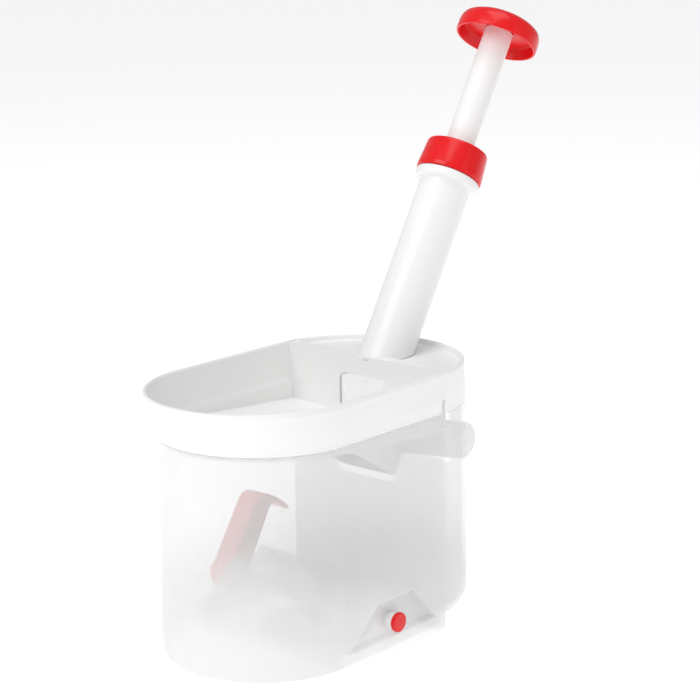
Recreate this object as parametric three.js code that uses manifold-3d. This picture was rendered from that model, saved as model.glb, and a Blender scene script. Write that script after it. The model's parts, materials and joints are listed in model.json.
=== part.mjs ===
// A household cherry pitter: hopper and plunger head on a frosted stone container with a suction foot.
// Millimetres, +Z up. +X is the back, where the chute leaves; -X is the front end of the hopper.
import * as THREE from 'three';
import { mergeVertices } from 'three/addons/utils/BufferGeometryUtils.js';
import Module from 'manifold-3d';

// ---- Driving dimensions ----
const GAP = 0.3; // between pieces that touch
const WALL = 2; // moulded wall
const RIM_Z = 143; // top of the hopper's rim
const SEAM_Z = 120; // top of the container, where the head sits
const CAN = { front: -91, back: 99.6, half: 56.2 }; // the container's oval outline at its top
const CAN_FLARE = 0.7; // how much wider the container is at its foot
const RIM = { front: -97.5, back: 97.5, half: 58 }; // the hopper's oval rim
const FLOOR_END_X = 28.1; // where the hopper's floor gives way to the seat
const FLOOR_END_Z = 109.5;
const FLOOR_FALL = 0.08; // fall of the floor towards the seat
const FLOOR_VEE = 0.05; // rise of the floor towards its sides
const PARTITION_X = 46.5; // front face of the partition
const PARTITION_Z = 142;
const PORT_HALF = 17; // the fruit port through the partition
const PORT_Y = 1.5; // its middle
const PORT_TOP = 131;
const LAND_X = 53.5; // behind this land the deck is recessed
const DECK_Z = 140; // the recessed deck
const DECK_THICK = 3;
const LINE_X = 65.5; // where the plunger's line crosses the rim's level
const LINE_TILT = THREE.MathUtils.degToRad(31.5);
const SEAT_W = -48; // top of the seat housing, along the plunger's line
const HOUSING = { front: -27, back: 20, half: 18.5, bottom: -64.5 };
const HOUSING_TOP_Z = 112.2; // its cheeks stop below the port's upper part
const CHUTE = { startX: 58.2, startZ: 90.6, endX: 121, fall: 0.305, half: 19, tall: 21 };
const CLEAR_HALF = 21; // half width of the notches that clear the housing and the chute
const BARREL = { radius: 14.5, bore: 12.5, top: 101, flange: 18.1, neck: 15.4, neckTop: 118 };
const SPIGOT_R = 11.2; // the barrel's lower end, plugged into the deck
const SPRING = { low: 10.1, high: 105.6, turns: 11, radius: 9.4, wire: 0.65 };
const BUSH = { inner: 8.6, outer: 13.6, low: 112.3 }; // the rod's guide in the barrel's mouth
const CAP = { inner: 15.9, outer: 18.8, low: 104, lid: 118.3, top: 121.3 };
const ROD = { outer: 8.2, collar: 11.9, collarLow: 106.6, collarTop: 112, top: 194.3 };
const NEEDLE = { tip: -17, shoulder: 60.5, top: 73.6, ribHalf: 2.6, thickHalf: 0.5, shank: 1.55 };
const KNOB = { rim: 187.9, rimInner: 22.1, outer: 23.6, ceiling: 194.6, top: 201.8, recess: 4.8 };
const SCREW_R = 1.6;
const FOOT_X = 3; // the suction foot's centre line
const SHAFT_Z = 16.5;
const SHAFT_R = 4.5;
const SHAFT_CAP = { radius: 5.3, outer: -58.6, inner: -56.2, stub: 1.6, stubEnd: -45 };
const CAM_THROW = 2.5; // lift of the suction cup
const CAM_R = 6.5;
const LEVER_LEAN = THREE.MathUtils.degToRad(32);
const LEVER = { near: 58.6, far: 71.6, length: 49 }; // it runs past the container's far wall
const YOKE = { low: 3.9, high: 24.2, halfLong: 12.8, half: 5, wall: 2.5 };
const ARC_STEPS = 20;

// ---- Booleans ----
const wasm = await Module();
wasm.setup();

function toSolid(geometry) {
  const bare = geometry.clone();
  bare.deleteAttribute('normal');
  bare.deleteAttribute('uv');
  const merged = mergeVertices(bare, 1e-4);
  return new wasm.Manifold(new wasm.Mesh({
    numProp: 3,
    vertProperties: merged.attributes.position.array,
    triVerts: new Uint32Array(merged.index.array),
  }));
}

function toGeometry(solid) {
  const mesh = solid.getMesh();
  const geometry = new THREE.BufferGeometry();
  geometry.setAttribute('position', new THREE.BufferAttribute(mesh.vertProperties, 3));
  geometry.setIndex(new THREE.BufferAttribute(mesh.triVerts, 1));
  geometry.computeVertexNormals();
  return geometry;
}

function join(...pieces) {
  return toGeometry(pieces.map(toSolid).reduce((whole, piece) => whole.add(piece)));
}

function cut(body, ...tools) {
  return toGeometry(tools.map(toSolid).reduce((whole, tool) => whole.subtract(tool), toSolid(body)));
}

function common(...pieces) {
  return toGeometry(pieces.map(toSolid).reduce((whole, piece) => whole.intersect(piece)));
}

// ---- Shapes ----
// A block between two corners.
function block([x0, y0, z0], [x1, y1, z1]) {
  const geometry = new THREE.BoxGeometry(x1 - x0, y1 - y0, z1 - z0);
  return geometry.translate((x0 + x1) / 2, (y0 + y1) / 2, (z0 + z1) / 2);
}

// An upright oval solid. Each level is { z, front, back, half }; its ends are half circles.
function ovalSolid(levels) {
  const base = levels[0];
  const frontCentre = base.front + base.half;
  const backCentre = base.back - base.half;
  const outline = new THREE.Shape();
  outline.absarc(backCentre, 0, base.half, -Math.PI / 2, Math.PI / 2, false);
  outline.absarc(frontCentre, 0, base.half, Math.PI / 2, Math.PI * 1.5, false);
  const steps = levels.length - 1;
  const options = { depth: 1, steps, bevelEnabled: false, curveSegments: ARC_STEPS };
  const geometry = new THREE.ExtrudeGeometry(outline, options);
  const points = geometry.attributes.position;
  for (let i = 0; i < points.count; i += 1) {
    const level = levels[Math.round(points.getZ(i) * steps)];
    const atBack = points.getX(i) > (frontCentre + backCentre) / 2;
    const from = atBack ? backCentre : frontCentre;
    const to = atBack ? level.back - level.half : level.front + level.half;
    const scale = level.half / base.half;
    points.setXYZ(i, to + (points.getX(i) - from) * scale, points.getY(i) * scale, level.z);
  }
  return geometry;
}

function insetOval(outline, inset) {
  return { front: outline.front + inset, back: outline.back - inset, half: outline.half - inset };
}

// The same outline at two heights, moved inwards by inset.
function ovalPrism(outline, inset, low, high) {
  const level = insetOval(outline, inset);
  return ovalSolid([{ ...level, z: low }, { ...level, z: high }]);
}

// The container's own shape, a little wider at its foot.
function canPrism(inset, low, high) {
  const at = (z) => ({ ...insetOval(CAN, inset - CAN_FLARE * (1 - z / SEAM_Z)), z });
  return ovalSolid([at(low), at(high)]);
}

// A turned solid about Z, from [radius, height] points that run anticlockwise.
function turned(points, segments = 32) {
  const profile = points.map(([radius, height]) => new THREE.Vector2(radius, height));
  return new THREE.LatheGeometry(profile, segments).rotateX(Math.PI / 2);
}

function disc(radius, low, high, segments = 32) {
  return turned([[0, low], [radius, low], [radius, high], [0, high]], segments);
}

function ring(inner, outer, low, high, segments = 32) {
  return turned([[inner, low], [outer, low], [outer, high], [inner, high], [inner, low]], segments);
}

// A prism across the object, from [x, z] points of its side outline, between two y values.
function sidePrism(points, yLow, yHigh) {
  const outline = new THREE.Shape(points.map(([x, z]) => new THREE.Vector2(x, z)));
  const geometry = new THREE.ExtrudeGeometry(outline, { depth: yHigh - yLow, bevelEnabled: false });
  return geometry.rotateX(Math.PI / 2).translate(0, yHigh, 0);
}

// A cylinder along Y.
function crossBar(radius, yLow, yHigh, x, z, segments = 32) {
  const geometry = new THREE.CylinderGeometry(radius, radius, yHigh - yLow, segments);
  return geometry.translate(x, (yLow + yHigh) / 2, z);
}

// The plunger's line: local Z runs up the barrel, local X down the seat's slope to the back.
const line = new THREE.Matrix4().makeRotationY(LINE_TILT).setPosition(LINE_X, 0, RIM_Z);
const fromLine = (geometry) => geometry.applyMatrix4(line);
const toLine = (geometry) => geometry.applyMatrix4(line.clone().invert());

const floorZ = (x) => FLOOR_END_Z + FLOOR_FALL * (FLOOR_END_X - x);

// Everything above the hopper's vee floor, lowered by drop.
function aboveFloor(drop) {
  const side = (sign) => {
    const slab = block([-150, -150, 0], [150, 150, 80]);
    const tilt = new THREE.Matrix4().makeRotationX(Math.atan(FLOOR_VEE * sign));
    const fall = new THREE.Matrix4().makeRotationY(Math.atan(FLOOR_FALL));
    const lift = new THREE.Matrix4().makeTranslation(0, 0, floorZ(0) - drop);
    return slab.applyMatrix4(lift.multiply(fall).multiply(tilt));
  };
  return common(side(1), side(-1));
}

// ---- Container ----
const REAR_STEP_X = 44; // behind here the base is raised and its edge is round
const REAR_RAISE = 3.5;
const REAR_ROUND = 13;
const TUNNEL_TOP = 30;
const SILL_Z = 9.5;
const TUNNEL_END_Y = 50;
const DIVIDER_TOP = 104.5; // clear of the hopper's basin

function containerEnvelope(inset) {
  const centre = CAN.back - CAN.half;
  const radius = CAN.half + CAN_FLARE - inset + 0.2;
  const low = REAR_RAISE + inset;
  const round = REAR_ROUND - inset;
  const profile = [[0, low]];
  for (let step = 0; step <= 6; step += 1) {
    const angle = (step / 6) * (Math.PI / 2);
    profile.push([radius - round + round * Math.sin(angle), low + round - round * Math.cos(angle)]);
  }
  profile.push([radius, 140], [0, 140]);
  const rear = turned(profile, 2 * ARC_STEPS).translate(centre, 0, 0);
  const front = block([-120, -70, inset], [REAR_STEP_X - inset, 70, 140]);
  return join(front, rear);
}

function tunnelOutline(low) {
  return [[-36, low], [36, low], [36, SILL_Z], [16, TUNNEL_TOP], [-12, TUNNEL_TOP], [-36, SILL_Z]];
}

function makeContainer() {
  const outer = common(canPrism(0, 0, SEAM_Z), containerEnvelope(0));
  const cavity = common(canPrism(WALL, WALL, SEAM_Z + 5), containerEnvelope(WALL));
  const shell = cut(outer, cavity);
  const inside = common(canPrism(0.5, 1, SEAM_Z), containerEnvelope(0.5));
  const divider = common(block([46, -60, 4], [48, 60, DIVIDER_TOP]), inside);
  const cover = [[-38, 1], [38, 1], [38, 10.4], [16.8, 32], [-12.8, 32], [-38, 10.4]];
  const tunnel = common(sidePrism(cover, -60, 60), inside);
  const pocket = [[-36, SILL_Z], [36, SILL_Z], [16, TUNNEL_TOP], [-12, TUNNEL_TOP]];
  return cut(
    join(shell, divider, tunnel),
    sidePrism(tunnelOutline(-5), -TUNNEL_END_Y, TUNNEL_END_Y),
    sidePrism(pocket, -70, -TUNNEL_END_Y - WALL),
    sidePrism(pocket, TUNNEL_END_Y + WALL, 70),
    crossBar(SHAFT_R + 0.35, -60, 60, FOOT_X, SHAFT_Z),
    block([40, -CLEAR_HALF, 74], [110, CLEAR_HALF, SEAM_Z + 10]),
    lockSlot(-1),
    lockSlot(1),
  );
}

// The short upright slot that lines the head up with the container, on each long side.
function lockSlot(side) {
  const yEdge = CAN.half - 1.4;
  const low = Math.min(side * yEdge, side * 70);
  return block([41.2, low, 112.5], [43.8, low + 70 - yEdge, 128]);
}

// ---- Hopper head ----
function makeTray() {
  const skirt = ovalSolid([
    { z: SEAM_Z + GAP, front: -91.6, back: 99.4, half: 56.8 },
    { z: 138.5, front: -96.2, back: 97.8, half: 57.6 },
    { z: 140, front: -97.5, back: 97.6, half: 58 },
    { z: 142.2, ...RIM },
    { z: RIM_Z, front: -96.9, back: 96.9, half: 57.4 },
  ]);
  const basin = common(
    ovalPrism(CAN, 2.3, 98, SEAM_Z + 1),
    block([-100, -60, 100], [PARTITION_X + WALL, 60, 130]),
    aboveFloor(WALL),
  );
  const hollow = common(
    ovalSolid([
      { z: 100, front: -84.5, back: 110, half: 52 },
      { z: 120.5, front: -86.5, back: 110, half: 52.4 },
      { z: 124, front: -89.5, back: 110, half: 54 },
      { z: RIM_Z + 1, front: -95.4, back: 110, half: 55.9 },
    ]),
    block([-100, -60, 100], [PARTITION_X, 60, RIM_Z + 2]),
    aboveFloor(0),
  );
  const behind = PARTITION_X + WALL;
  const deckRecess = common(
    ovalSolid([
      { z: DECK_Z, front: -94.8, back: 94.8, half: 55.5 },
      { z: RIM_Z + 1, front: -95.4, back: 95.4, half: 55.9 },
    ]),
    block([LAND_X, -60, DECK_Z], [110, 60, RIM_Z + 2]),
  );
  const underDeck = common(
    ovalPrism(CAN, 3.2, 100, DECK_Z - DECK_THICK),
    block([behind, -60, 100], [110, 60, DECK_Z - DECK_THICK]),
  );
  return cut(
    join(skirt, basin),
    hollow,
    deckRecess,
    underDeck,
    block([PARTITION_X - 1, -55.7, PARTITION_Z], [LAND_X + 0.5, 55.7, RIM_Z + 2]),
    portCutter(),
    block([FLOOR_END_X, -HOUSING.half - GAP, 90], [behind + 2, HOUSING.half + GAP, HOUSING_TOP_Z + GAP]),
    fromLine(disc(SPIGOT_R + GAP, -14, 8)),
    common(fromLine(disc(BARREL.radius + GAP, -20, 20)), block([0, -50, DECK_Z], [110, 50, 170])),
    lockSlot(-1),
    lockSlot(1),
  );
}

// The port through the partition, with round upper corners.
function portCutter() {
  const corner = 4;
  const outline = new THREE.Shape();
  outline.moveTo(-PORT_HALF, 95);
  outline.lineTo(PORT_HALF, 95);
  outline.absarc(PORT_HALF - corner, PORT_TOP - corner, corner, 0, Math.PI / 2, false);
  outline.absarc(corner - PORT_HALF, PORT_TOP - corner, corner, Math.PI / 2, Math.PI, false);
  const geometry = new THREE.ExtrudeGeometry(outline, { depth: 6, bevelEnabled: false, curveSegments: 6 });
  return geometry.rotateX(Math.PI / 2).rotateZ(Math.PI / 2).translate(PARTITION_X - 2, PORT_Y, 0);
}

// The housing under the seat, made on the plunger's line and open at its bottom for the stones.
function makeSeatHousing() {
  const { front, back, half, bottom } = HOUSING;
  const shell = cut(
    block([front, -half, bottom], [back, half, SEAT_W]),
    block([front + WALL, WALL - half, bottom - 5], [back - WALL, half - WALL, SEAT_W - 2.5]),
  );
  const collar = ring(11.9, 14, SEAT_W - 9, SEAT_W - 1);
  const cheek = (y) => block([front, y, SEAT_W - 1], [back, y + WALL, SEAT_W + 26]);
  const body = cut(join(shell, collar, cheek(-half), cheek(half - WALL)), turned([
    [0, SEAT_W - 20], [11.9, SEAT_W - 20], [11.9, SEAT_W - 2.5], [12.9, SEAT_W - 2.5],
    [12.9, SEAT_W + 5], [0, SEAT_W + 5],
  ]));
  const underBasin = [
    [-30, floorZ(-30) - WALL - GAP],
    [FLOOR_END_X + GAP, FLOOR_END_Z - WALL - GAP],
    [FLOOR_END_X + GAP, 150],
    [-30, 150],
  ];
  const besideSeat = [
    [FLOOR_END_X, FLOOR_END_Z], [PARTITION_X - GAP, floorZ(PARTITION_X)], [PARTITION_X - GAP, 150],
    [FLOOR_END_X, 150],
  ];
  const world = cut(
    fromLine(body),
    sidePrism(underBasin, -30, 30),
    sidePrism(besideSeat, -30, 30),
    block([PARTITION_X - 1, -30, HOUSING_TOP_Z], [90, 30, 150]),
    block([CHUTE.startX - GAP, -30, 88], [90, 30, 150]),
  );
  return toLine(world);
}

function makeSeatPlate() {
  const top = SEAT_W + 0.6;
  return turned([
    [6, SEAT_W - 2.2], [12.6, SEAT_W - 2.2], [12.6, top], [11.8, top], [9, top - 1.2], [6, top - 1.9],
    [6, SEAT_W - 2.2],
  ]);
}

const makeGasket = () => ring(3.2, 11.6, SEAT_W - 4.3, SEAT_W - 2.8);

const makeRetainer = () => ring(8.2, 11.6, SEAT_W - 7.6, SEAT_W - 4.6);

// The trough that the pitted fruit leaves by. Its nose is round in side view.
function makeChute() {
  const { startX, startZ, endX, fall, half, tall } = CHUTE;
  const nose = tall / 2;
  const zAt = (x) => startZ - fall * (x - startX);
  const slope = Math.atan(fall);
  const centre = [endX - nose, zAt(endX - nose) + nose / Math.cos(slope) - WALL];
  const outline = new THREE.Shape();
  outline.moveTo(startX, zAt(startX) - WALL);
  outline.absarc(centre[0], centre[1], nose, -Math.PI / 2 - slope, Math.PI / 2 - slope, false);
  outline.lineTo(startX + 6, zAt(startX + 6) + tall - WALL);
  outline.lineTo(startX, zAt(startX) + 8);
  const geometry = new THREE.ExtrudeGeometry(outline, {
    depth: 2 * half, bevelEnabled: false, curveSegments: 12,
  });
  const body = geometry.rotateX(Math.PI / 2).translate(0, half, 0);
  const run = endX + 30;
  const channel = [
    [startX - 5, zAt(startX - 5)], [run, zAt(run)], [run, zAt(run) + 60], [startX - 5, zAt(startX - 5) + 60],
  ];
  return cut(body, sidePrism(channel, WALL - half, half - WALL));
}

// ---- Plunger barrel and what it holds, on the plunger's line ----
function makeBarrel() {
  const above = (z) => toLine(block([-100, -50, z], [300, 50, 400]));
  const tube = common(disc(BARREL.radius, -20, BARREL.top + 1), above(DECK_Z + GAP));
  const spigot = common(disc(SPIGOT_R, -13.7, 4), above(DECK_Z - DECK_THICK));
  const flange = turned([
    [0, 98.6], [16.4, 98.6], [BARREL.flange, 99.8], [BARREL.flange, CAP.low - GAP],
    [BARREL.neck, CAP.low - GAP],
    [BARREL.neck, BARREL.neckTop], [0, BARREL.neckTop],
  ]);
  return cut(
    join(tube, spigot, flange),
    disc(9.4, -30, 4),
    disc(4, 0, 10),
    disc(BARREL.bore, 8, 130),
    disc(13.9, 112, 130),
  );
}

const makeSpringWasher = () => ring(7, 12.1, 8.3, 9.3);

function makeSpring() {
  const { low, high, turns, radius, wire } = SPRING;
  const coil = new THREE.Curve();
  coil.getPoint = (t) => {
    const angle = t * turns * 2 * Math.PI;
    return new THREE.Vector3(radius * Math.cos(angle), radius * Math.sin(angle), low + (high - low) * t);
  };
  const section = new THREE.Shape();
  section.absarc(0, 0, wire, 0, Math.PI * 2, false);
  return new THREE.ExtrudeGeometry(section, {
    steps: turns * 10, extrudePath: coil, bevelEnabled: false, curveSegments: 3,
  });
}

const makeGuideBush = () => ring(BUSH.inner, BUSH.outer, BUSH.low, BARREL.neckTop);

function makeCapRing() {
  return turned([
    [CAP.inner, CAP.low], [CAP.outer - 0.1, CAP.low], [CAP.outer, CAP.low + 1.6], [17.5, CAP.top - 0.9],
    [16.8, CAP.top], [8.9, CAP.top], [8.9, CAP.lid], [CAP.inner, CAP.lid], [CAP.inner, CAP.low],
  ], 48);
}

const makeRod = () => turned([
  [3.2, 78], [5.5, 78], [5.5, ROD.collarLow], [ROD.collar, ROD.collarLow], [ROD.collar, ROD.collarTop],
  [ROD.outer, ROD.collarTop], [ROD.outer, ROD.top], [2, ROD.top], [2, 172], [0, 172], [0, 90],
  [3.2, 90], [3.2, 78],
]);

const makeNeedleHolder = () => turned([
  [1.9, 61], [4.6, 61], [5.5, 63], [5.5, 77.7], [2.9, 77.7], [2.9, 89.6], [0, 89.6], [0, 74], [1.9, 74],
  [1.9, 61],
], 32);

function makeNeedle() {
  const { tip, shoulder, top, ribHalf, thickHalf, shank } = NEEDLE;
  const rib = (turn) => block([-ribHalf, -thickHalf, tip], [ribHalf, thickHalf, shoulder]).rotateZ(turn);
  return join(rib(0), rib(Math.PI / 2), disc(shank, shoulder - 1, top, 20));
}

function makeKnob() {
  const { rim, rimInner, outer, ceiling, top, recess } = KNOB;
  const floor = ceiling + 1.6;
  return turned([
    [2.3, ceiling], [20, ceiling], [21.2, ceiling - 1.4], [rimInner, rim], [outer - 0.3, rim],
    [outer, rim + 1.1], [23.5, rim + 6.1], [22.6, rim + 9.1], [20.6, rim + 11.3], [16.5, top - 1],
    [10, top - 0.2], [recess, top], [recess, floor], [2.3, floor], [2.3, ceiling],
  ], 36);
}

function makeKnobScrew() {
  const seat = KNOB.ceiling + 1.9;
  const head = seat + 1.9;
  const screw = turned([[0, 174], [SCREW_R, 174], [SCREW_R, seat], [4.2, seat], [4.2, head], [0, head]], 24);
  return cut(
    screw,
    block([-5, -0.5, head - 1], [5, 0.5, head + 1]),
    block([-0.5, -5, head - 1], [0.5, 5, head + 1]),
  );
}

const makeKnobPlug = () => turned([[0, 198.8], [4.4, 198.8], [4.4, 201.2], [3.6, 201.9], [0, 202.1]], 24);

// ---- Suction foot, about its own shaft ----
function makeCamShaft() {
  const shaft = crossBar(SHAFT_R, SHAFT_CAP.inner + GAP, 71.8, 0, 0);
  const cam = crossBar(CAM_R, -7, 7, 0, -CAM_THROW);
  return cut(
    join(shaft, cam),
    crossBar(1.9, 60, 80, 0, 0, 20),
    crossBar(SHAFT_CAP.stub + GAP, -60, SHAFT_CAP.stubEnd + GAP, 0, 0, 20),
  );
}

// The red cap on the shaft's near end, with a stub that plugs into it.
const makeShaftCap = () => join(
  crossBar(SHAFT_CAP.radius, SHAFT_CAP.outer, SHAFT_CAP.inner, 0, 0),
  crossBar(SHAFT_CAP.stub, SHAFT_CAP.inner - 1, SHAFT_CAP.stubEnd, 0, 0, 20),
);

// The lever stands along local Z before it is leaned back.
function makeLever() {
  const { near, far, length } = LEVER;
  const outline = new THREE.Shape();
  outline.moveTo(7.4, 4);
  outline.lineTo(6, length - 7);
  outline.quadraticCurveTo(6.6, length - 3, 9.5, length - 2.8);
  outline.quadraticCurveTo(15, length - 2, 20.9, length - 3.1);
  outline.lineTo(21.3, length - 1.4);
  outline.quadraticCurveTo(14, length + 0.6, 6, length);
  outline.quadraticCurveTo(-4.5, length, -6.5, length - 7);
  outline.lineTo(-7.4, 4);
  outline.absarc(0, 0, 8.4, Math.PI - 0.5, 2 * Math.PI + 0.5, false);
  const geometry = new THREE.ExtrudeGeometry(outline, {
    depth: far - near, bevelEnabled: false, curveSegments: 8,
  });
  const body = geometry.rotateX(Math.PI / 2).translate(0, far, 0);
  const channel = block([-3.6, near + 2, 11], [12, far - 2, length - 7]);
  return cut(body, channel, crossBar(SHAFT_R + GAP, 50, 80, 0, 0));
}

const makeLeverScrew = () => join(crossBar(1.5, 61, 73, 0, 0, 20), crossBar(3.6, 72.2, 74.2, 0, 0, 24));

function makeSuctionCup() {
  return turned([
    [0, 1.6], [12, 1.5], [24, 0.9], [30.6, 0.35], [31.2, 0.6], [30, 1.7], [22, 2.9], [10, 3.5], [0, 3.6],
  ], 40);
}

function makeYoke() {
  const { low, high, halfLong, half, wall } = YOKE;
  const frame = cut(
    block([-halfLong, -half, low], [halfLong, half, high]),
    block([wall - halfLong, -half - 3, low + wall], [halfLong - wall, half + 3, high - wall]),
  );
  return join(frame, disc(9, low, low + 1.7, 32));
}

// ---- Assembly ----
function finish(color, roughness, metalness = 0, opacity = 1) {
  return new THREE.MeshStandardMaterial({
    color, roughness, metalness, opacity, transparent: opacity < 1,
  });
}

const white = finish(0xf2f2f0, 0.35);
const frosted = finish(0xe4e6e6, 0.45, 0, 0.55);
const red = finish(0xe3262b, 0.3);
const clear = finish(0xe8eef0, 0.2, 0, 0.4);
const silicone = finish(0xdcdcd8, 0.6);
const steel = finish(0xb8babd, 0.3, 1);

const assembly = new THREE.Group();

function add(parent, name, geometry, material) {
  const mesh = new THREE.Mesh(geometry, material);
  mesh.name = name;
  parent.add(mesh);
}

add(assembly, 'collecting_container', makeContainer(), frosted);
add(assembly, 'hopper_tray', makeTray(), white);
add(assembly, 'ejector_chute', makeChute(), white);

const plungerLine = new THREE.Group();
plungerLine.position.set(LINE_X, 0, RIM_Z);
plungerLine.rotation.y = LINE_TILT;
assembly.add(plungerLine);
add(plungerLine, 'seat_housing', makeSeatHousing(), white);
add(plungerLine, 'seat_plate', makeSeatPlate(), white);
add(plungerLine, 'seat_gasket', makeGasket(), silicone);
add(plungerLine, 'gasket_retainer', makeRetainer(), white);
add(plungerLine, 'plunger_barrel', makeBarrel(), white);
add(plungerLine, 'spring_washer', makeSpringWasher(), steel);
add(plungerLine, 'return_spring', makeSpring(), steel);
add(plungerLine, 'guide_bush', makeGuideBush(), white);
add(plungerLine, 'cap_ring', makeCapRing(), red);
add(plungerLine, 'plunger_rod', makeRod(), white);
add(plungerLine, 'needle_holder', makeNeedleHolder(), white);
add(plungerLine, 'pitting_needle', makeNeedle(), steel);
add(plungerLine, 'knob', makeKnob(), red);
add(plungerLine, 'knob_screw', makeKnobScrew(), steel);
add(plungerLine, 'knob_plug', makeKnobPlug(), red);

const foot = new THREE.Group();
foot.position.set(FOOT_X, 0, 0);
assembly.add(foot);
add(foot, 'suction_cup', makeSuctionCup(), clear);
add(foot, 'cup_yoke', makeYoke(), white);

const shaftLine = new THREE.Group();
shaftLine.position.set(0, 0, SHAFT_Z);
foot.add(shaftLine);
add(shaftLine, 'cam_shaft', makeCamShaft(), white);
add(shaftLine, 'shaft_cap', makeShaftCap(), red);
add(shaftLine, 'lever_screw', makeLeverScrew(), steel);

const leverLine = new THREE.Group();
leverLine.rotation.y = LEVER_LEAN;
shaftLine.add(leverLine);
add(leverLine, 'suction_lever', makeLever(), red);

// The origin is the middle of the footprint box, at the level that the object stands on.
assembly.updateMatrixWorld(true);
const box = new THREE.Box3().setFromObject(assembly, true);
const centre = box.getCenter(new THREE.Vector3());
assembly.position.set(-centre.x, -centre.y, -box.min.z);

export default assembly;
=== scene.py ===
# %% [markdown]
# # A cherry pitter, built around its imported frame
#
# This kitchen tool has an open oval hopper, a slanted plunger with a red knob, and a frosted container
# below that catches the stones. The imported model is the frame: it says where every piece is and how it
# moves. Each visible moulding is then modelled again with finer edges, and takes the old one's place.

# %% Load the frame
import json
import math

import bmesh
import bpy
from mathutils import Matrix, Vector


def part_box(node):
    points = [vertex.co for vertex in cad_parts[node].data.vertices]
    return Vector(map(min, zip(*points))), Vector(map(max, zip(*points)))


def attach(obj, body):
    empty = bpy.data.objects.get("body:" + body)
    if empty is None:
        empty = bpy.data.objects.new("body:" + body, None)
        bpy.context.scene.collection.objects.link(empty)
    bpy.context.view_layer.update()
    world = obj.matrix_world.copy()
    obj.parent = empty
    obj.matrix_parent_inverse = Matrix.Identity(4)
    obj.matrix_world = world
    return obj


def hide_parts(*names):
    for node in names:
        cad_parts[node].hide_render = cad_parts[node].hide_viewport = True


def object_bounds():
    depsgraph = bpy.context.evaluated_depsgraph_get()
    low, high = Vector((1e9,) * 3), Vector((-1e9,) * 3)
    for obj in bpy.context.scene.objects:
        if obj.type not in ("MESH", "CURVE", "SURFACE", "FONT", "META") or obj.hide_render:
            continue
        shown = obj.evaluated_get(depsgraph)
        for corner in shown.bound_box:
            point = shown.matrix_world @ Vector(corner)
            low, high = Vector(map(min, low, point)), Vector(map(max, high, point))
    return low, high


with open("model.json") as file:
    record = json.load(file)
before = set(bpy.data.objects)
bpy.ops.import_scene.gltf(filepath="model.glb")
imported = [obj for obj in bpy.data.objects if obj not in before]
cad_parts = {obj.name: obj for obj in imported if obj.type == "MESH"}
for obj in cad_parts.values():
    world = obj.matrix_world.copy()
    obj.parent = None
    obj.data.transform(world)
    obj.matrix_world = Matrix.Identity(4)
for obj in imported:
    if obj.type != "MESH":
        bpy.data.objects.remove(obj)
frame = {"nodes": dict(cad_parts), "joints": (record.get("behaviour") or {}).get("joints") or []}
cad_low, cad_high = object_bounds()
print("the frame's box, in metres:", [round(v, 4) for v in (*cad_low, *cad_high)])

# %% [markdown]
# ## A workshop zero and the plunger's line
#
# A maker measures from a datum, so everything below is in millimetres from one: the level of the table,
# on the centre line, 34.8 mm behind the middle of the container's front arc. The frame's own boxes say
# where that is. The barrel, rod and knob share a slanted line, and the frame's joints give its place
# and its direction.

# %% Datum and line
MM = 0.001
can_low, can_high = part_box("collecting_container")
DATUM = Vector((can_low.x + 91.7 * MM, (can_low.y + can_high.y) / 2, can_low.z))

joints = {joint["name"]: joint for joint in frame["joints"]}
line_start = Vector(joints["cap_turn"]["pos_m"])
line_axis = Vector(joints["cap_turn"]["axis"]).normalized()
LINE_TILT = math.atan2(line_axis.x, line_axis.z)
LINE = Matrix.Translation(line_start) @ Matrix.Rotation(LINE_TILT, 4, "Y")
SHAFT = Matrix.Translation(Vector(joints["lever_turn"]["pos_m"]))
BENCH = Matrix.Translation(DATUM)
print("the plunger leans", round(math.degrees(LINE_TILT), 1), "degrees")

FRONT_X, BACK_X = -34.8, 43.4  # centres of the container's two round ends
CAN_HALF = 56.2  # half its width at the top
CAN_FLARE = 0.7  # how much more it is at the foot
CAN_TOP = 120.0
RIM_TOP = 143.0
WALL = 2.0

# %% [markdown]
# ## Small helpers for work in edit mode
#
# An operator acts on everything that is selected, so each step starts by clearing the selection. Corners
# and faces are then picked in code, by where they are. A finished piece keeps its object at the origin,
# unturned, so its place is in its mesh, as the frame's own pieces have it.

# %% Select and place
def select_none():
    """Leave edit mode and select nothing."""
    if bpy.context.object and bpy.context.object.mode != "OBJECT":
        bpy.ops.object.mode_set(mode="OBJECT")
    bpy.ops.object.select_all(action="DESELECT")


def take(piece):
    """Make one piece the selected and active one."""
    select_none()
    piece.select_set(True)
    bpy.context.view_layer.objects.active = piece


def edit(piece, mode="VERT"):
    """Enter edit mode on one piece."""
    take(piece)
    bpy.ops.object.mode_set(mode="EDIT")
    bpy.ops.mesh.select_mode(type=mode)


def pick(piece, test, kind="verts"):
    """In edit mode, select only what passes the test."""
    mesh = bmesh.from_edit_mesh(piece.data)
    bpy.ops.mesh.select_all(action="DESELECT")
    for part in getattr(mesh, kind):
        if test(part):
            part.select_set(True)
    mesh.select_flush(True) if kind == "verts" else mesh.select_flush_mode()
    bmesh.update_edit_mesh(piece.data)


def picked(piece):
    """The numbers of the selected corners."""
    return {v.index for v in bmesh.from_edit_mesh(piece.data).verts if v.select}


def settle(piece, place=BENCH):
    """Move a piece that was made at the origin to its place, and write that place into its mesh."""
    take(piece)
    piece.matrix_world = place @ piece.matrix_world
    bpy.ops.object.transform_apply(location=True, rotation=True, scale=True)
    return piece


def face_outwards(piece):
    edit(piece)
    bpy.ops.mesh.select_all(action="SELECT")
    bpy.ops.mesh.remove_doubles(threshold=0.00002)
    bpy.ops.mesh.normals_make_consistent(inside=False)
    select_none()
    return piece


# %% [markdown]
# ## Drawing a round or oval piece up ring by ring
#
# Nearly every moulding here is round or oval in plan. A ring of corners is extruded upwards and resized,
# again and again, which is how a potter would pull it. An oval is the same ring with its front half slid
# forwards, and each half is resized about its own centre, so the wall keeps an even thickness.

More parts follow.
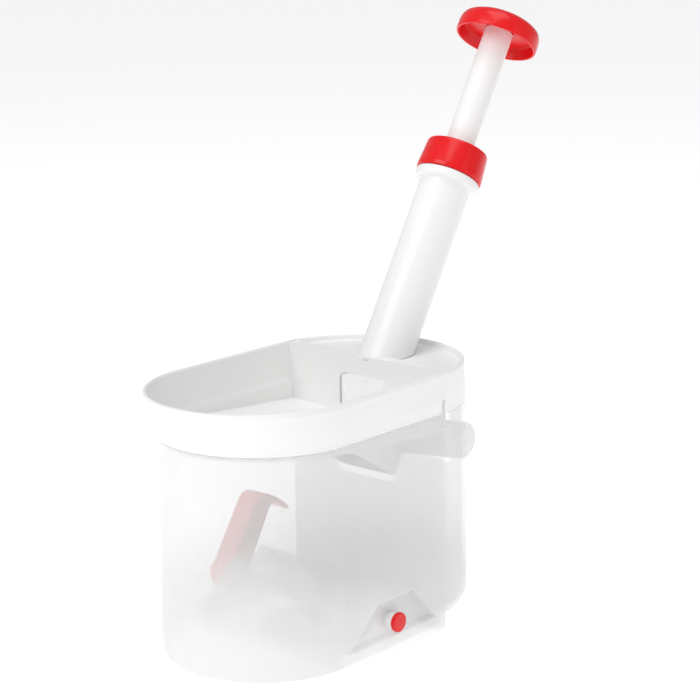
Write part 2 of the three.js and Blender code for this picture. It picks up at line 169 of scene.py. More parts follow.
# %% Ring by ring
def ring_start(name, radius, height, around, filled):
    select_none()
    bpy.ops.mesh.primitive_circle_add(
        vertices=around, radius=radius * MM, location=(0, 0, height * MM),
        fill_type="NGON" if filled else "NOTHING",
    )
    piece = bpy.context.object
    piece.name = piece.data.name = name
    bpy.ops.object.transform_apply(location=True, rotation=True, scale=True)
    edit(piece)
    bpy.ops.mesh.select_all(action="SELECT")
    return piece


def close_ends(piece):
    """Join a hollow profile's last ring to its first."""
    bpy.ops.mesh.select_mode(type="EDGE")
    pick(piece, lambda edge: len(edge.link_faces) == 1, "edges")
    bpy.ops.mesh.bridge_edge_loops()
    bpy.ops.mesh.select_mode(type="VERT")


def turned(name, profile, around=96, hollow=False):
    """A round piece from (radius, height) points. A hollow profile runs up one side and down the other."""
    piece = ring_start(name, *profile[0], around, not hollow)
    for (radius, height), (next_radius, next_height) in zip(profile, profile[1:]):
        rise = (0, 0, (next_height - height) * MM)
        bpy.ops.mesh.extrude_region_move(TRANSFORM_OT_translate={"value": rise})
        ratio = next_radius / radius
        bpy.ops.transform.resize(value=(ratio, ratio, 1), center_override=(0, 0, next_height * MM))
    if hollow:
        close_ends(piece)
    face_outwards(piece)
    return piece


def oval(name, levels, around=96, hollow=False):
    """An oval piece from (height, half width, front centre, back centre) levels."""
    height, half, front, back = levels[0]
    piece = ring_start(name, half, height, around, not hollow)
    everything = picked(piece)
    corners = bmesh.from_edit_mesh(piece.data).verts
    front_half = {v.index for v in corners if v.co.x < -1e-6}
    shift_half(piece, front_half, front)
    shift_half(piece, everything - front_half, back)
    for (z0, r0, front0, back0), (z1, r1, front1, back1) in zip(levels, levels[1:]):
        reselect(piece, everything)
        bpy.ops.mesh.extrude_region_move(TRANSFORM_OT_translate={"value": (0, 0, (z1 - z0) * MM)})
        everything = picked(piece)
        middle = (front0 + back0) / 2 * MM
        corners = bmesh.from_edit_mesh(piece.data).verts
        corners.ensure_lookup_table()
        front_half = {i for i in everything if corners[i].co.x < middle}
        for part, was, now in ((front_half, front0, front1), (everything - front_half, back0, back1)):
            reselect(piece, part)
            ratio = r1 / r0
            bpy.ops.transform.resize(value=(ratio, ratio, 1), center_override=(was * MM, 0, z1 * MM))
            if now != was:
                bpy.ops.transform.translate(value=((now - was) * MM, 0, 0))
    if hollow:
        close_ends(piece)
    face_outwards(piece)
    return piece


def reselect(piece, numbers):
    pick(piece, lambda corner: corner.index in numbers)


def shift_half(piece, numbers, distance):
    reselect(piece, numbers)
    bpy.ops.transform.translate(value=(distance * MM, 0, 0))


# %% [markdown]
# ## Blocks, prisms, cuts and rounded edges
#
# Ports, slots and tunnels are cut out of the mouldings with tools of the same shape, as a toolmaker's
# cutter leaves them. A Boolean modifier does each cut, and a Bevel modifier on the cutter rounds the
# inside corners before the cut is made. That is easier than to bevel a piece that is already cut,
# where the many short edges would hold the bevel back.

# %% Cutters
def block(name, low, high):
    select_none()
    middle = [(a + b) / 2 * MM for a, b in zip(low, high)]
    bpy.ops.mesh.primitive_cube_add(size=1, location=middle)
    piece = bpy.context.object
    piece.name = name
    piece.scale = [(b - a) * MM for a, b in zip(low, high)]
    bpy.ops.object.transform_apply(location=True, rotation=True, scale=True)
    return piece


def bar(name, radius, y_low, y_high, x=0.0, z=0.0, around=48):
    """A round bar across the object."""
    select_none()
    bpy.ops.mesh.primitive_cylinder_add(
        vertices=around, radius=radius * MM, depth=(y_high - y_low) * MM,
        location=(x * MM, (y_low + y_high) / 2 * MM, z * MM), rotation=(math.pi / 2, 0, 0),
    )
    piece = bpy.context.object
    piece.name = name
    bpy.ops.object.transform_apply(location=True, rotation=True, scale=True)
    return piece


def side_prism(name, outline, y_low, y_high):
    """A prism across the object: a face with its corners pulled to (x, z) points, then extruded."""
    select_none()
    bpy.ops.mesh.primitive_circle_add(vertices=len(outline), radius=MM, fill_type="NGON")
    piece = bpy.context.object
    piece.name = piece.data.name = name
    edit(piece)
    corners = bmesh.from_edit_mesh(piece.data)
    for corner, (x, z) in zip(corners.verts, outline):
        corner.co = Vector((x, y_low, z)) * MM
    bmesh.update_edit_mesh(piece.data)
    bpy.ops.mesh.select_all(action="SELECT")
    rise = (0, (y_high - y_low) * MM, 0)
    bpy.ops.mesh.extrude_region_move(TRANSFORM_OT_translate={"value": rise})
    return face_outwards(piece)


def slice_off(piece, point, normal):
    """Cut a solid with a plane, throw away the side that the normal points to, and close the cut."""
    edit(piece)
    bpy.ops.mesh.select_all(action="SELECT")
    bpy.ops.mesh.bisect(
        plane_co=Vector(point) * MM, plane_no=normal, use_fill=True, clear_outer=True,
    )
    select_none()
    return piece


def boolean(piece, tool, operation="DIFFERENCE"):
    take(piece)
    modifier = piece.modifiers.new("cut", "BOOLEAN")
    modifier.operation = operation
    modifier.solver = "EXACT"
    modifier.object = tool
    bpy.ops.object.modifier_apply(modifier=modifier.name)
    bpy.data.objects.remove(tool)
    return piece


def cut(piece, *tools):
    for tool in tools:
        boolean(piece, tool)
    return piece


def rounded(piece, width, segments=3, angle=30):
    """Round every edge that is sharper than the angle."""
    take(piece)
    modifier = piece.modifiers.new("edges", "BEVEL")
    modifier.width = width * MM
    modifier.segments = segments
    modifier.limit_method = "ANGLE"
    modifier.angle_limit = math.radians(angle)
    bpy.ops.object.modifier_apply(modifier=modifier.name)
    return piece


def smooth(piece, angle=32):
    take(piece)
    bpy.ops.object.shade_smooth_by_angle(angle=math.radians(angle))
    return piece


def report(piece):
    print(f"{piece.name}: {len(piece.data.vertices)} corners, {len(piece.data.polygons)} faces")


# %% [markdown]
# ## Camera, table and light
#
# The camera stands a metre away at a little above the hopper, with a long lens, so that the sides stay
# upright. The light is soft: one wide panel on the left, one overhead for the hopper's inside, a weak
# one on the right for a second gleam on the red mouldings, and a pale room that fills the rest. The
# table glows a little, so that it stays white up to the far edge. The view transform is the plain one,
# so that white plastic stays white.

# %% Camera
LENS_MM = 100.8
CAMERA_AT = DATUM + Vector((-741.53, -666.46, 389.50)) * MM
LOOK_AT = DATUM + Vector((34.1, 0, 148.05)) * MM
CAMERA_ROLL = math.radians(-0.71)

select_none()
bpy.ops.object.camera_add(location=CAMERA_AT)
camera = bpy.context.object
aim = (LOOK_AT - CAMERA_AT).to_track_quat("-Z", "Y").to_matrix().to_4x4()
camera.matrix_world = Matrix.Translation(CAMERA_AT) @ aim @ Matrix.Rotation(CAMERA_ROLL, 4, "Z")
camera.data.lens = LENS_MM
camera.data.sensor_width = 36
camera.data.clip_start = 0.01
bpy.context.scene.camera = camera

# %% Table, room and lamps
TABLE_SIZE = 16
TABLE_GLOW = 0.47
ROOM_LIGHT = 0.47
LAMPS_AIM = Vector((0, 0, 0.15))

select_none()
bpy.ops.mesh.primitive_plane_add(size=TABLE_SIZE, location=(0, 0, cad_low.z))
table = bpy.context.object
table.name = "table"
table_finish = bpy.data.materials.new("pale_table")
table_finish.use_nodes = True
table_shader = table_finish.node_tree.nodes["Principled BSDF"]
table_shader.inputs["Base Color"].default_value = (0.93, 0.93, 0.93, 1)
table_shader.inputs["Roughness"].default_value = 0.9
table_shader.inputs["Specular IOR Level"].default_value = 0.1
table_shader.inputs["Emission Color"].default_value = (1, 1, 1, 1)
table_shader.inputs["Emission Strength"].default_value = TABLE_GLOW
table.data.materials.append(table_finish)

room = bpy.data.worlds.new("pale_room")
bpy.context.scene.world = room
room.use_nodes = True
room.node_tree.nodes["Background"].inputs["Color"].default_value = (1, 1, 1, 1)
room.node_tree.nodes["Background"].inputs["Strength"].default_value = ROOM_LIGHT
bpy.context.scene.view_settings.view_transform = "Standard"


def panel(name, place, width, height, watts):
    """A soft light panel that faces the object."""
    select_none()
    bpy.ops.object.light_add(type="AREA", location=Vector(place))
    lamp = bpy.context.object
    lamp.name = name
    lamp.data.shape = "RECTANGLE"
    lamp.data.size = width
    lamp.data.size_y = height
    lamp.data.energy = watts
    lamp.rotation_euler = (LAMPS_AIM - Vector(place)).to_track_quat("-Z", "Y").to_euler()
    return lamp


panel("left_panel", (-1.3, 0.15, 1.25), 1.1, 0.9, 10)
panel("top_panel", (-0.2, -0.35, 1.8), 1.2, 1.2, 10)
panel("right_panel", (0.25, -1.6, 0.6), 0.35, 0.9, 0.5)

# %% [markdown]
# ## What moulded plastic looks like close up
#
# A moulding is never one flat colour. Its skin has a fine grain from the tool, its shade drifts a little
# where the melt ran, and handling leaves patches that are duller than the rest. These effects are shared
# by every plastic here, so they are one node group. Each finish places it with its own grain, drift and
# dullness, and sets the rest on its own shader.

# %% The shared skin
def build_skin():
    group = bpy.data.node_groups.new("moulded_skin", "ShaderNodeTree")
    wanted = (
        ("Colour", "NodeSocketColor", (0.8, 0.8, 0.8, 1)), ("Drift", "NodeSocketFloat", 0.03),
        ("Dull", "NodeSocketFloat", 0.35), ("Dull Spread", "NodeSocketFloat", 0.1),
        ("Grain Scale", "NodeSocketFloat", 1500.0), ("Grain Depth", "NodeSocketFloat", 0.05),
    )
    for label, kind, value in wanted:
        group.interface.new_socket(label, in_out="INPUT", socket_type=kind).default_value = value
    for label, kind in (("Colour", "NodeSocketColor"), ("Roughness", "NodeSocketFloat"),
                        ("Normal", "NodeSocketVector"), ("Cloud", "NodeSocketFloat")):
        group.interface.new_socket(label, in_out="OUTPUT", socket_type=kind)
    add, join = group.nodes.new, group.links.new
    given, result = add("NodeGroupInput"), add("NodeGroupOutput")
    where = add("ShaderNodeTexCoord")

    cloud = add("ShaderNodeTexNoise")
    cloud.inputs["Scale"].default_value = 22
    cloud.inputs["Detail"].default_value = 3
    join(where.outputs["Object"], cloud.inputs["Vector"])

    centred = add("ShaderNodeMath")
    centred.operation = "SUBTRACT"
    centred.inputs[1].default_value = 0.5
    join(cloud.outputs["Fac"], centred.inputs[0])
    shade = add("ShaderNodeMath")
    shade.operation = "MULTIPLY_ADD"
    shade.inputs[2].default_value = 1
    join(centred.outputs[0], shade.inputs[0])
    join(given.outputs["Drift"], shade.inputs[1])
    tint = add("ShaderNodeVectorMath")
    tint.operation = "SCALE"
    join(given.outputs["Colour"], tint.inputs[0])
    join(shade.outputs[0], tint.inputs["Scale"])
    join(tint.outputs[0], result.inputs["Colour"])

    rubbed = add("ShaderNodeTexNoise")
    rubbed.inputs["Scale"].default_value = 75
    rubbed.inputs["Detail"].default_value = 5
    rubbed.inputs["Distortion"].default_value = 0.6
    join(where.outputs["Object"], rubbed.inputs["Vector"])
    rub = add("ShaderNodeMath")
    rub.operation = "SUBTRACT"
    rub.inputs[1].default_value = 0.5
    join(rubbed.outputs["Fac"], rub.inputs[0])
    dull = add("ShaderNodeMath")
    dull.operation = "MULTIPLY_ADD"
    join(rub.outputs[0], dull.inputs[0])
    join(given.outputs["Dull Spread"], dull.inputs[1])
    join(given.outputs["Dull"], dull.inputs[2])
    join(dull.outputs[0], result.inputs["Roughness"])

    grain = add("ShaderNodeTexNoise")
    grain.inputs["Detail"].default_value = 2
    join(where.outputs["Object"], grain.inputs["Vector"])
    join(given.outputs["Grain Scale"], grain.inputs["Scale"])
    bump = add("ShaderNodeBump")
    bump.inputs["Distance"].default_value = 0.0001
    join(grain.outputs["Fac"], bump.inputs["Height"])
    join(given.outputs["Grain Depth"], bump.inputs["Strength"])
    join(bump.outputs["Normal"], result.inputs["Normal"])
    join(cloud.outputs["Fac"], result.inputs["Cloud"])
    return group


skin = build_skin()


def plastic(name, colour, drift=0.03, dull=0.3, spread=0.1, grain=1500.0, depth=0.08):
    """A plastic finish: the shared skin feeds a Principled shader."""
    finish = bpy.data.materials.new(name)
    finish.use_nodes = True
    tree = finish.node_tree
    shader = tree.nodes["Principled BSDF"]
    surface = tree.nodes.new("ShaderNodeGroup")
    surface.node_tree = skin
    values = (("Colour", (*colour, 1)), ("Drift", drift), ("Dull", dull), ("Dull Spread", spread),
              ("Grain Scale", grain), ("Grain Depth", depth))
    for label, value in values:
        surface.inputs[label].default_value = value
    tree.links.new(surface.outputs["Colour"], shader.inputs["Base Color"])
    tree.links.new(surface.outputs["Roughness"], shader.inputs["Roughness"])
    tree.links.new(surface.outputs["Normal"], shader.inputs["Normal"])
    return finish, shader, surface


# %% [markdown]
# ## The finishes
#
# White and red are the same hard, glossy plastic in two colours. The container's wall is frosted: it
# lets most light through, and hides what is far behind it. Light crosses two faces in each wall, so each
# face only needs to be about a quarter opaque. Towards the foot it is made hazier. That is a choice, so
# that the works of the foot can hardly be seen, and a real wall need not do so. The clear cup is thinner
# and shinier. Steel parts are bright, with fine lines from drawing.

# %% White, red, frosted, clear and rubber
white, white_shader, _ = plastic("white_moulding", (0.87, 0.87, 0.865), drift=0.02, dull=0.32)
red, red_shader, _ = plastic("red_moulding", (0.76, 0.006, 0.009), drift=0.06, dull=0.24, spread=0.14)
red_shader.inputs["Specular IOR Level"].default_value = 0.3
red_shader.inputs["Coat Weight"].default_value = 0.12
red_shader.inputs["Coat Roughness"].default_value = 0.12
FROSTED_OPACITY, CLEAR_OPACITY = 0.275, 0.16
HAZE_TOP, HAZE_AT_FOOT = 0.07, 0.22  # metres above the table, and the opacity that the foot adds

silicone, _, _ = plastic("milky_silicone", (0.74, 0.74, 0.72), dull=0.62, grain=900.0)


def see_through(finish, shader, surface, thin, spread):
    """Let light through, a little unevenly, as the wall's thickness drifts."""
    tree = finish.node_tree
    alpha = tree.nodes.new("ShaderNodeMath")
    alpha.operation = "MULTIPLY_ADD"
    alpha.inputs[1].default_value = spread
    alpha.inputs[2].default_value = thin - spread / 2
    tree.links.new(surface.outputs["Cloud"], alpha.inputs[0])
    tree.links.new(alpha.outputs[0], shader.inputs["Alpha"])
    return alpha


frosted, frosted_shader, frosted_skin = plastic(
    "frosted_moulding", (0.90, 0.905, 0.905), drift=0.03, dull=0.42, spread=0.12, grain=2200.0, depth=0.2,
)
frosted_alpha = see_through(frosted, frosted_shader, frosted_skin, thin=FROSTED_OPACITY, spread=0.02)
frosted_tree = frosted.node_tree
foot_where = frosted_tree.nodes.new("ShaderNodeTexCoord")
foot_height = frosted_tree.nodes.new("ShaderNodeSeparateXYZ")
foot_haze = frosted_tree.nodes.new("ShaderNodeMapRange")
foot_haze.interpolation_type = "SMOOTHSTEP"
for label, value in (("From Min", HAZE_TOP), ("From Max", 0.0), ("To Min", 0.0), ("To Max", HAZE_AT_FOOT)):
    foot_haze.inputs[label].default_value = value
foot_sum = frosted_tree.nodes.new("ShaderNodeMath")
for source, target in (
    (foot_where.outputs["Object"], foot_height.inputs["Vector"]),
    (foot_height.outputs["Z"], foot_haze.inputs["Value"]),
    (foot_haze.outputs["Result"], foot_sum.inputs[0]),
    (frosted_alpha.outputs[0], foot_sum.inputs[1]),
    (foot_sum.outputs[0], frosted_shader.inputs["Alpha"]),
):
    frosted_tree.links.new(source, target)
clear, clear_shader, clear_skin = plastic("clear_soft", (0.8, 0.84, 0.85), dull=0.16, spread=0.08)
see_through(clear, clear_shader, clear_skin, thin=CLEAR_OPACITY, spread=0.05)

# %% Steel
steel = bpy.data.materials.new("bright_steel")
steel.use_nodes = True
steel_tree = steel.node_tree
steel_shader = steel_tree.nodes["Principled BSDF"]
steel_shader.inputs["Metallic"].default_value = 1
steel_where = steel_tree.nodes.new("ShaderNodeTexCoord")
steel_lines = steel_tree.nodes.new("ShaderNodeTexNoise")
steel_lines.inputs["Scale"].default_value = 420
steel_stretch = steel_tree.nodes.new("ShaderNodeMapping")
steel_stretch.inputs["Rotation"].default_value = (0, -LINE_TILT, 0)
steel_stretch.inputs["Scale"].default_value = (1, 1, 0.06)
steel_dull = steel_tree.nodes.new("ShaderNodeMapRange")
steel_dull.inputs["To Min"].default_value = 0.18
steel_dull.inputs["To Max"].default_value = 0.36
steel_tint = steel_tree.nodes.new("ShaderNodeMix")
steel_tint.data_type = "RGBA"
steel_tint.inputs["A"].default_value = (0.56, 0.57, 0.59, 1)
steel_tint.inputs["B"].default_value = (0.68, 0.69, 0.7, 1)
for source, target in (
    (steel_where.outputs["Object"], steel_stretch.inputs["Vector"]),
    (steel_stretch.outputs["Vector"], steel_lines.inputs["Vector"]),
    (steel_lines.outputs["Fac"], steel_dull.inputs["Value"]),
    (steel_dull.outputs["Result"], steel_shader.inputs["Roughness"]),
    (steel_lines.outputs["Fac"], steel_tint.inputs["Factor"]),
    (steel_tint.outputs["Result"], steel_shader.inputs["Base Color"]),
):
    steel_tree.links.new(source, target)

FINISHES = {
    "white_plastic": white, "red_plastic": red, "frosted_plastic": frosted,
    "clear_soft_plastic": clear, "silicone": silicone, "steel": steel,
}

# %% Give a finished moulding its finish, its body and the piece that it stands for
def hand_over(piece, body, slot, *nodes, place=BENCH, angle=32):
    settle(piece, place)
    smooth(piece, angle)
    piece.data.materials.clear()
    piece.data.materials.append(FINISHES[slot])
    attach(piece, body)
    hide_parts(*nodes)
    report(piece)


# %% [markdown]
# ## Container
#
# The container is a deep oval box with walls of 2 mm. Its back half stands 3.5 mm higher and has a round
# edge, and a tunnel crosses its floor for the suction foot. It could be built as one shell with
# Solidify, but the raised back and the tunnel differ inside and out, so the outside and the hollow are
# drawn as two solids, and one is cut from the other.

# %% Outside and hollow
REAR_STEP_X = 44.0
REAR_RAISE = 3.5
REAR_ROUND = 13.0


def can_half(height, inset):
    return CAN_HALF - inset + CAN_FLARE * (1 - height / CAN_TOP)


def can_solid(name, inset, low, high, lip=0.0):
    """The container's own oval, moved inwards, with a small radius at its foot."""
    steps = [(low, inset + 2), (low + 0.25, inset + 1.1), (low + 0.9, inset + 0.4), (low + 2, inset)]
    steps += [(high - lip, inset), (high, inset + lip)] if lip else [(high, inset)]
    return oval(name, [(z, can_half(z, d), FRONT_X, BACK_X) for z, d in steps])


def raised_back(inset):
    """Everything in front of the step, and behind it only what lies inside the round rear edge."""
    radius = CAN_HALF + CAN_FLARE + 0.2 - inset
    curve = REAR_ROUND - inset
    low = REAR_RAISE + inset
    profile = []
    for step in range(11):
        turn = step / 10 * math.pi / 2
        profile.append((radius - curve + curve * math.sin(turn), low + curve - curve * math.cos(turn)))
    rear = turned("rear", [*profile, (radius, 150)], around=128)
    settle(rear, Matrix.Translation((BACK_X * MM, 0, 0)))
    front = block("front", (-130, -80, -10), (REAR_STEP_X - inset, 80, 150))
    return boolean(front, rear, "UNION")


def inside_room(inset):
    return boolean(can_solid("room", inset, inset, CAN_TOP + 8), raised_back(inset), "INTERSECT")


container = can_solid("container_shell", 0, 0, CAN_TOP, lip=0.5)
boolean(container, raised_back(0), "INTERSECT")
boolean(container, inside_room(WALL))
report(container)

# %% [markdown]
# The divider stands across the container behind the stones' space. The tunnel is a low roof with two
# slopes. Both are made a little too wide and trimmed to the oval, so that they end inside the wall.

# %% Divider and tunnel
TUNNEL = ((-36, 9.5), (36, 9.5), (16, 30), (-12, 30))
TUNNEL_END = 50.0
SHAFT_X, SHAFT_Z = 3.0, 16.5

divider = boolean(block("divider", (46, -60, 4), (48, 60, 104.5)), inside_room(0.5), "INTERSECT")
cover_shape = ((-38, 1), (38, 1), (38, 10.4), (16.8, 32), (-12.8, 32), (-38, 10.4))
cover = rounded(side_prism("cover", cover_shape, -60, 60), 1.4, angle=20)
cover = boolean(cover, inside_room(0.5), "INTERSECT")
boolean(container, divider, "UNION")
boolean(container, cover, "UNION")

under = ((-36, -6), (36, -6), (36, 9.5), (16, 30), (-12, 30), (-36, 9.5))
tunnel = rounded(side_prism("tunnel", under, -TUNNEL_END, TUNNEL_END), 0.8, angle=20)
near_pocket = rounded(side_prism("near_pocket", TUNNEL, -75, -TUNNEL_END - WALL), 0.8, angle=20)
far_pocket = rounded(side_prism("far_pocket", TUNNEL, TUNNEL_END + WALL, 75), 0.8, angle=20)
shaft_hole = bar("shaft_hole", 4.85, -60, 60, SHAFT_X, SHAFT_Z)
cut(container, tunnel, near_pocket, far_pocket, shaft_hole)

# %% Way out for the chute, and the lining-up slots
SLOT_X = (41.2, 43.8)


def lining_up_slot(side):
    low, high = sorted((side * (CAN_HALF - 1.4), side * 75))
    return rounded(block("slot", (SLOT_X[0], low, 112.5), (SLOT_X[1], high, 128)), 0.4, 2)


way_out = rounded(block("way_out", (40, -21, 74), (110, 21, 140)), 2.5)
cut(container, way_out, lining_up_slot(-1), lining_up_slot(1))
hand_over(container, "base", "frosted_plastic", "collecting_container")

# %% [markdown]
# ## Hopper tray
#
# The hopper is one white moulding: an oval wall that leans outwards to a round rim, a floor that falls
# gently to the middle and to the back, a partition with a port for the fruit, and a deck behind it. The
# hollow is a cutter of its own, sliced by the floor's two slopes and by the partition, with its edges
# rounded before the cut, which leaves soft inside corners.

# %% Wall and rim
FLOOR_END = (28.1, 109.5)
FLOOR_FALL, FLOOR_VEE = 0.08, 0.05
PARTITION_X, LAND_X = 46.5, 53.5
PARTITION_TOP = 142.0
DECK_TOP, DECK_THICK = 140.0, 3.0

tray = oval("hopper_wall", [
    (120.3, 56.4, -34.8, 42.6), (120.6, 56.8, -34.8, 42.6), (125.7, 57.02, -35.9, 41.9),
    (126.1, 57.22, -36.0, 41.85), (138.3, 57.6, -38.6, 40.2), (139.3, 57.75, -39.2, 39.8),
    (140.2, 58.0, -39.5, 39.6), (141.9, 58.0, -39.5, 39.5), (142.6, 57.75, -39.5, 39.5),
    (143.0, 57.2, -39.5, 39.5),
])


def slice_floor(piece, drop=0.0):
    """Keep what lies above the hopper's two floor slopes, lowered by drop."""
    low_point = (FLOOR_END[0], 0, FLOOR_END[1] - drop)
    for side in (-1, 1):
        slice_off(piece, low_point, Vector((-FLOOR_FALL, side * FLOOR_VEE, -1)).normalized())
    return piece


basin = oval("basin", [(98, 53.9, FRONT_X, BACK_X), (121, 53.9, FRONT_X, BACK_X)])
slice_off(basin, (PARTITION_X + WALL, 0, 0), (1, 0, 0))
slice_floor(basin, drop=WALL)
boolean(tray, basin, "UNION")

hollow = oval("hollow", [
    (100, 52.0, -32.5, 58.0), (120.5, 52.4, -34.1, 57.6), (122, 53.1, -34.7, 56.9),
    (124, 54.0, -35.5, 56.0), (141.6, 55.66, -39.1, 54.3), (142.5, 56.0, -39.2, 54.2),
    (143.3, 57.0, -39.3, 54.1), (160, 57.0, -39.3, 54.1),
])
slice_off(hollow, (PARTITION_X, 0, 0), (1, 0, 0))
slice_floor(hollow)
report(hollow)

# %% Hollows, port and slots
PORT_NEAR, PORT_FAR = -15.5, 18.5
PORT_TOP, PORT_ROUND = 131, 4


def port_cutter():
    """The fruit port, with round upper corners."""
    port = block("port", (PARTITION_X - 2, PORT_NEAR, 95), (PARTITION_X + 4, PORT_FAR, PORT_TOP))
    edit(port, "EDGE")
    pick(port, lambda edge: all(corner.co.z > (PORT_TOP - 1) * MM for corner in edge.verts)
         and abs(edge.verts[0].co.x - edge.verts[1].co.x) > MM, "edges")
    bpy.ops.mesh.bevel(offset=PORT_ROUND * MM, segments=6)
    select_none()
    return port


LINE_ON_BENCH = BENCH.inverted() @ LINE


def on_line(piece):
    """Lean a tool that was made upright along the plunger's line."""
    return settle(piece, LINE_ON_BENCH)


def stub(name, radius, low, high):
    return turned(name, [(radius, low), (radius, high)], around=64)


deck_hollow = oval("deck_hollow", [
    (DECK_TOP, 55.0, -39.3, 39.3), (DECK_TOP + 0.5, 55.5, -39.3, 39.3), (142.4, 55.9, -39.5, 39.5),
    (143.2, 56.9, -39.5, 39.5), (160, 56.9, -39.5, 39.5),
])
slice_off(deck_hollow, (LAND_X, 0, 0), (-1, 0, 0))
under_deck = oval("under_deck", [(100, 53, FRONT_X, BACK_X), (DECK_TOP - DECK_THICK, 53, FRONT_X, BACK_X)])
slice_off(under_deck, (PARTITION_X + WALL, 0, 0), (-1, 0, 0))
land = block("land", (PARTITION_X - 1, -55.7, PARTITION_TOP), (LAND_X + 0.5, 55.7, RIM_TOP + 2))
seat_way = block("seat_way", (FLOOR_END[0], -18.8, 90), (PARTITION_X + 4, 18.8, 112.5))
spigot_hole = on_line(stub("spigot_hole", 11.5, -14, 8))
barrel_seat = slice_off(on_line(stub("barrel_seat", 14.8, -24, 24)), (0, 0, DECK_TOP), (0, 0, -1))

cut(tray, rounded(hollow, 2.4, 5), rounded(deck_hollow, 0.9, 3), rounded(under_deck, 1.5, 3))
cut(tray, rounded(land, 0.35, 2), port_cutter(), seat_way, spigot_hole, barrel_seat)
cut(tray, lining_up_slot(-1), lining_up_slot(1))
hand_over(tray, "head", "white_plastic", "hopper_tray", angle=28)

# %% [markdown]
# ## Seat housing and chute
#
# The housing is a square spout under the seat. Stones fall through it into the container, and the pitted
# fruit leaves behind it, down a chute with round-ended side walls. Each is a side outline pulled out to
# its width, with its channel cut after its edges are rounded.

# %% Seat housing
SEAT_W = -48.0  # the housing's top, along the plunger's line
CHUTE_START = 58.2
HOUSING_FRONT, HOUSING_BACK, HOUSING_HALF, HOUSING_END = -27.0, 20.0, 18.5, -64.5

housing = block(
    "seat_spout", (HOUSING_FRONT, -HOUSING_HALF, HOUSING_END), (HOUSING_BACK, HOUSING_HALF, SEAT_W),
)
housing = rounded(housing, 1.2)
spout = block(
    "spout", (HOUSING_FRONT + WALL, WALL - HOUSING_HALF, HOUSING_END - 5),
    (HOUSING_BACK - WALL, HOUSING_HALF - WALL, SEAT_W - 2.5),
)
cut(housing, rounded(spout, 0.8))
boolean(housing, turned("collar", [(14, SEAT_W - 9), (14, SEAT_W - 1)], around=64), "UNION")
for y_low in (-HOUSING_HALF, HOUSING_HALF - WALL):
    cheek = block("cheek", (HOUSING_FRONT, y_low, SEAT_W - 1), (HOUSING_BACK, y_low + WALL, SEAT_W + 26))
    boolean(housing, cheek, "UNION")
cut(housing, turned("seat_bore", [
    (11.9, SEAT_W - 20), (11.9, SEAT_W - 2.5), (12.9, SEAT_W - 2.5), (12.9, SEAT_W + 5),
], around=64))
on_line(housing)
floor_z = FLOOR_END[1] + FLOOR_FALL * (FLOOR_END[0] + 30)
under_basin = (
    (-30, floor_z - WALL - 0.3), (FLOOR_END[0] + 0.3, FLOOR_END[1] - WALL - 0.3),
    (FLOOR_END[0] + 0.3, 150), (-30, 150),
)
beside_seat = (
    FLOOR_END, (PARTITION_X - 0.3, FLOOR_END[1] - FLOOR_FALL * (PARTITION_X - FLOOR_END[0])),
    (PARTITION_X - 0.3, 150), (FLOOR_END[0], 150),
)
cut(housing, side_prism("under_basin", under_basin, -30, 30), side_prism("beside_seat", beside_seat, -30, 30),
    block("above_cheeks", (PARTITION_X - 1, -30, 112.2), (90, 30, 150)),
    block("chute_room", (CHUTE_START - 0.3, -30, 88), (90, 30, 150)))
hand_over(housing, "head", "white_plastic", "seat_housing")

# %% Chute
CHUTE_TOP, CHUTE_FALL = 90.6, 0.305
CHUTE_HALF, CHUTE_NOSE = 19.0, 10.5


def chute_z(x):
    return CHUTE_TOP - CHUTE_FALL * (x - CHUTE_START)


chute_slope = math.atan(CHUTE_FALL)
nose_x = 121 - CHUTE_NOSE
nose_z = chute_z(nose_x) + CHUTE_NOSE / math.cos(chute_slope) - WALL
chute_side = [(CHUTE_START, chute_z(CHUTE_START) - WALL)]
for step in range(25):
    turn = -math.pi / 2 - chute_slope + step / 24 * math.pi
    chute_side.append((nose_x + CHUTE_NOSE * math.cos(turn), nose_z + CHUTE_NOSE * math.sin(turn)))
chute_side += [
    (CHUTE_START + 6, chute_z(CHUTE_START + 6) + 2 * CHUTE_NOSE - WALL),
    (CHUTE_START, chute_z(CHUTE_START) + 8),
]
chute = rounded(side_prism("chute", chute_side, -CHUTE_HALF, CHUTE_HALF), 0.5, 3, angle=40)
run = ((50, chute_z(50)), (155, chute_z(155)), (155, chute_z(155) + 70), (50, chute_z(50) + 70))
cut(chute, rounded(side_prism("run", run, WALL - CHUTE_HALF, CHUTE_HALF - WALL), 2.0, 5))
hand_over(chute, "head", "white_plastic", "ejector_chute")

# %% [markdown]
# ## Barrel and cap ring
#
# The barrel is a plain tube that leans over the seat, with a shelf near its top and a red ring screwed on
# above it. Turned parts are quickest as a profile drawn up ring by ring. The barrel's foot is sliced
# level with the deck once the tube leans.

# %% Barrel
barrel = turned("barrel", [
    (14.5, -20), (14.5, 97.2), (14.75, 98.0), (15.6, 98.5), (16.9, 98.8), (17.7, 99.2), (18.1, 99.9),
    (18.1, 103.0), (17.9, 103.5), (17.4, 103.7), (15.4, 103.7), (15.4, 117.5), (14.9, 118),
], around=128)
slice_off(on_line(barrel), (0, 0, DECK_TOP + 0.3), (0, 0, -1))
spigot = on_line(stub("spigot", 11.2, -13.7, 4))
boolean(barrel, slice_off(spigot, (0, 0, DECK_TOP - DECK_THICK), (0, 0, -1)), "UNION")
cut(barrel, on_line(stub("mouth", 9.4, -30, 4)), on_line(stub("needle_way", 4, 0, 10)),
    on_line(stub("bore", 12.5, 8, 130)), on_line(stub("bush_seat", 13.9, 112, 130)))
hand_over(barrel, "head", "white_plastic", "plunger_barrel")

